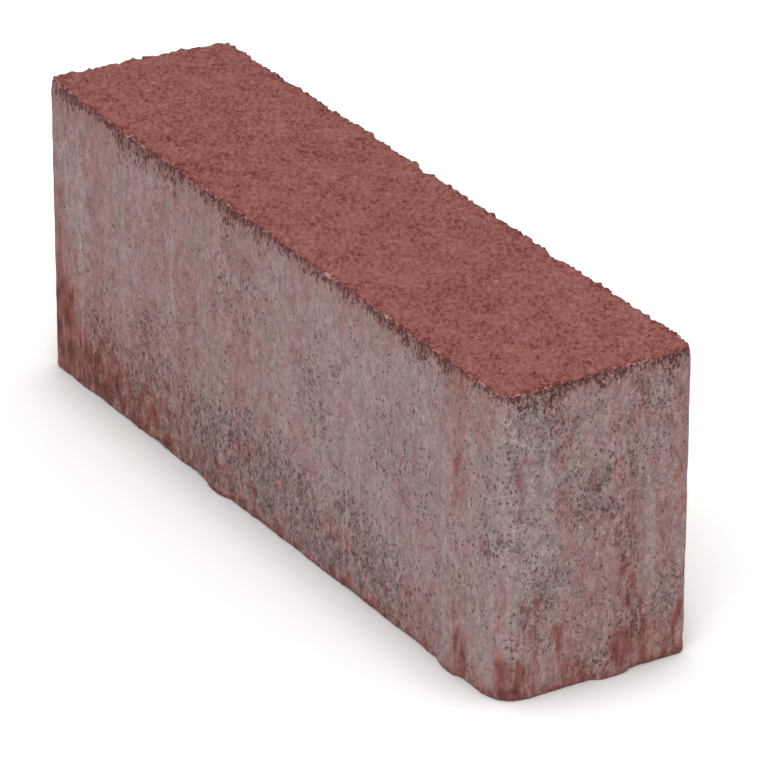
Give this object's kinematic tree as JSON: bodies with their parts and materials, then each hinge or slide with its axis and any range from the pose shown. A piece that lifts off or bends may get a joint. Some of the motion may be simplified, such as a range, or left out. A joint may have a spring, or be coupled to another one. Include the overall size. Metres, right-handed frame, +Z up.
{
  "type": "facing brick",
  "caption": "Pressed concrete facing brick: a long narrow block with a red top, vertical spacer nibs on its sides and ends, and nicked edges.",
  "frame": {"origin": "middle of the bed face, which the brick stands on", "axes": "+X along the brick's length towards the right end, +Y across its width towards the back, +Z up towards the red top face"},
  "size_m": [0.203, 0.0516, 0.074],
  "materials": {
    "concrete": "pressed concrete, rough, iron red at the top and greyish pink on the sides"
  },
  "bodies": {
    "root": {"brick": "concrete"}
  },
  "joints": []
}
